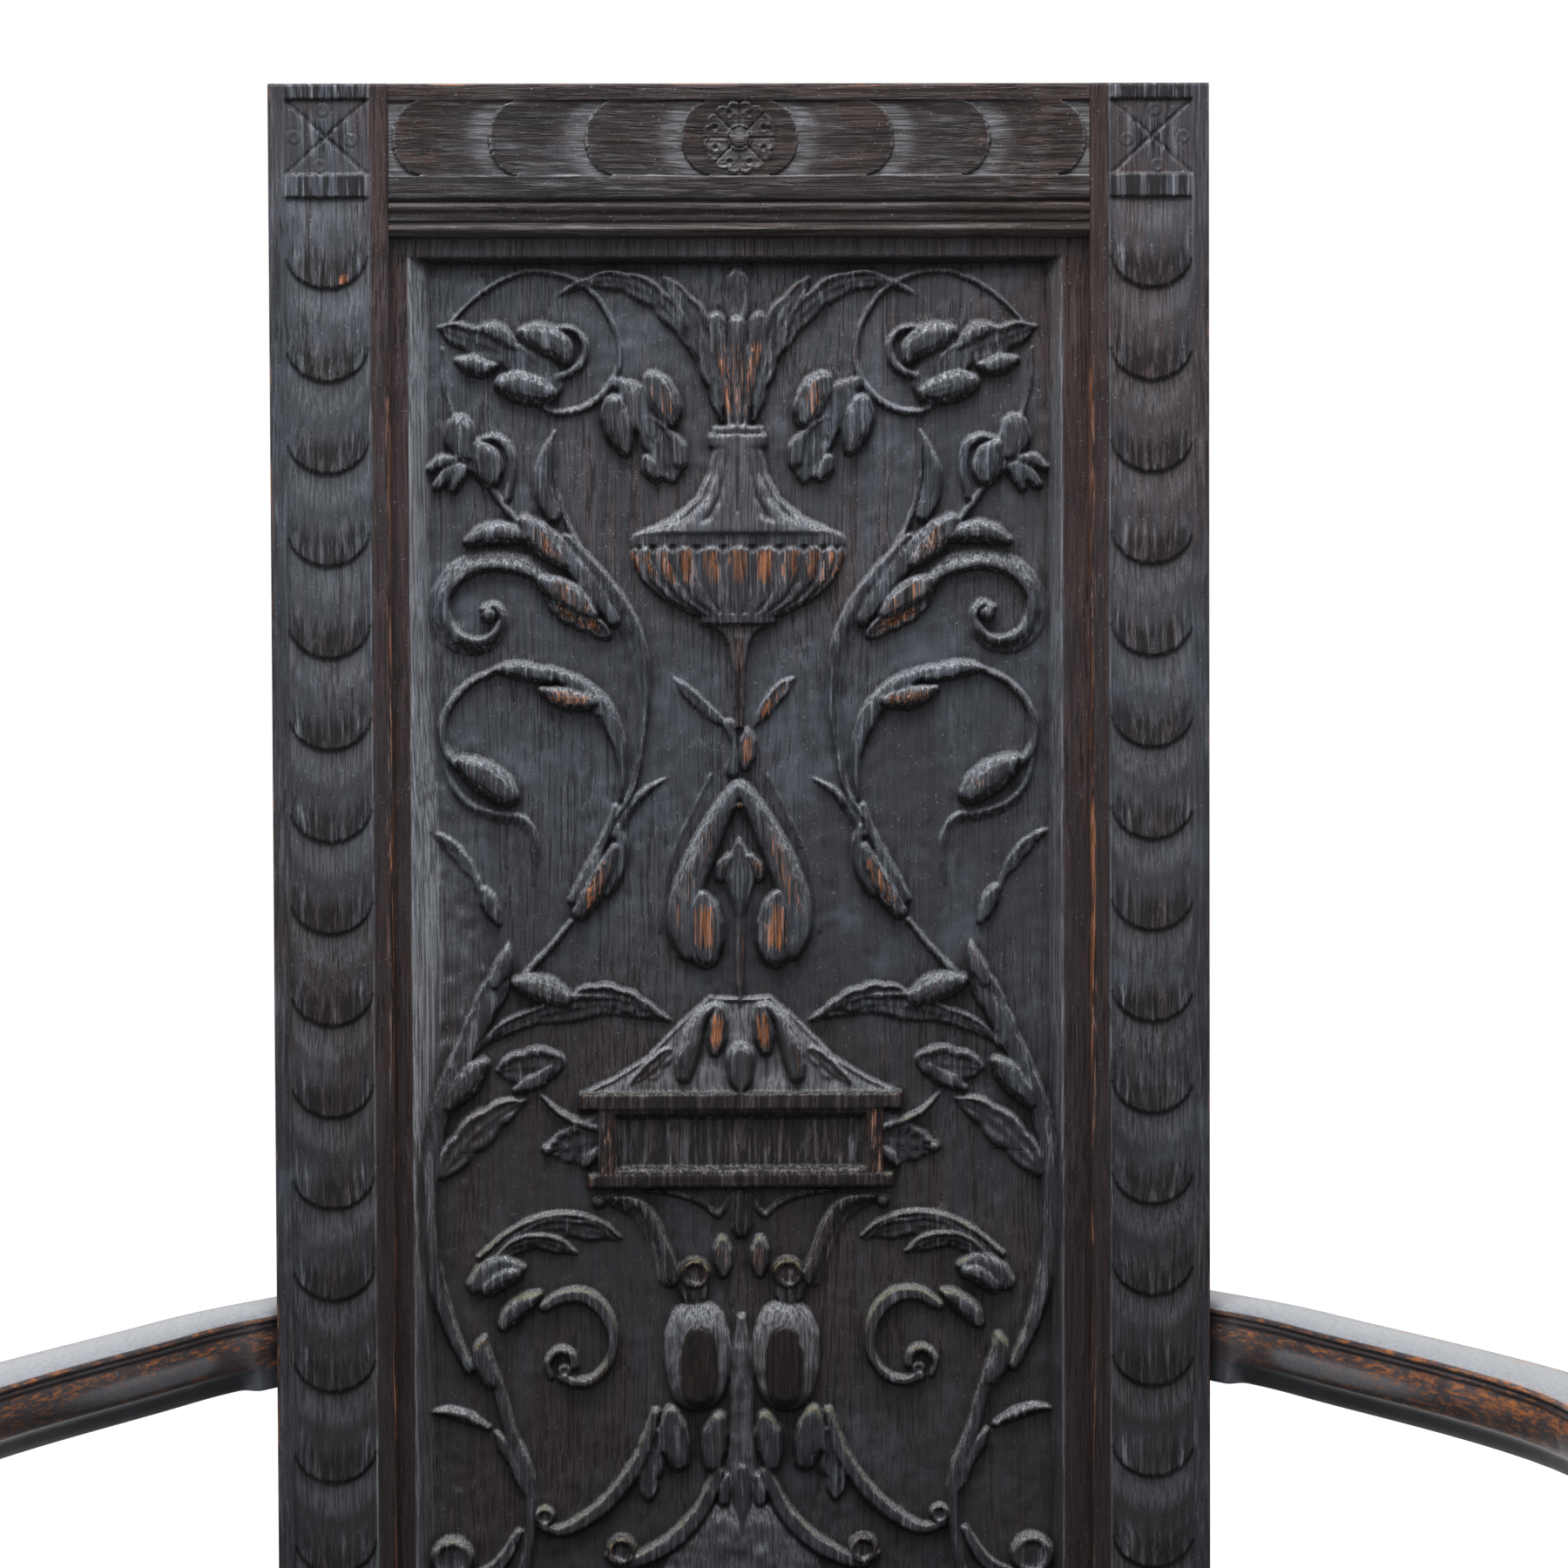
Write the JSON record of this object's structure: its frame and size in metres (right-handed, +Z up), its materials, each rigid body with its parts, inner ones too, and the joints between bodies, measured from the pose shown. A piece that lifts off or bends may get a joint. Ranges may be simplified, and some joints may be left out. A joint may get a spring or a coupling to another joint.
{
  "type": "armchair",
  "caption": "Joined oak armchair with a tall narrow carved panel back, splayed bowed arms, turned front posts, a trapezoid board seat and low box stretchers.",
  "frame": {"origin": "on the floor, at the middle of the chair's width and depth", "axes": "+Z up, -Y the way the sitter faces, +X to the sitter's left"},
  "size_m": [0.7008, 0.4961, 1.24],
  "materials": {
    "carved_oak": "very dark stained and waxed oak, open grain, worn warm on the highest carving",
    "worn_oak": "dark waxed oak worn orange along the edges",
    "turned_oak": "dark waxed oak, turned",
    "frame_oak": "dark waxed oak",
    "seat_oak": "dark waxed oak, rubbed by use",
    "peg_oak": "dark oak end grain"
  },
  "bodies": {
    "root": {"left_rear_post": "carved_oak", "right_rear_post": "carved_oak", "top_rail": "carved_oak", "back_bottom_rail": "carved_oak", "back_panel": "carved_oak", "left_arm": "worn_oak", "right_arm": "worn_oak", "left_front_post": "turned_oak", "right_front_post": "turned_oak", "front_seat_rail": "frame_oak", "rear_seat_rail": "frame_oak", "left_seat_rail": "frame_oak", "right_seat_rail": "frame_oak", "front_stretcher": "frame_oak", "rear_stretcher": "frame_oak", "left_stretcher": "frame_oak", "right_stretcher": "frame_oak", "seat_front_board": "seat_oak", "seat_rear_board": "seat_oak", "back_frame_pegs": "peg_oak", "arm_pegs": "peg_oak", "seat_rail_pegs": "peg_oak", "stretcher_pegs": "peg_oak", "seat_pegs": "peg_oak"}
  },
  "joints": []
}
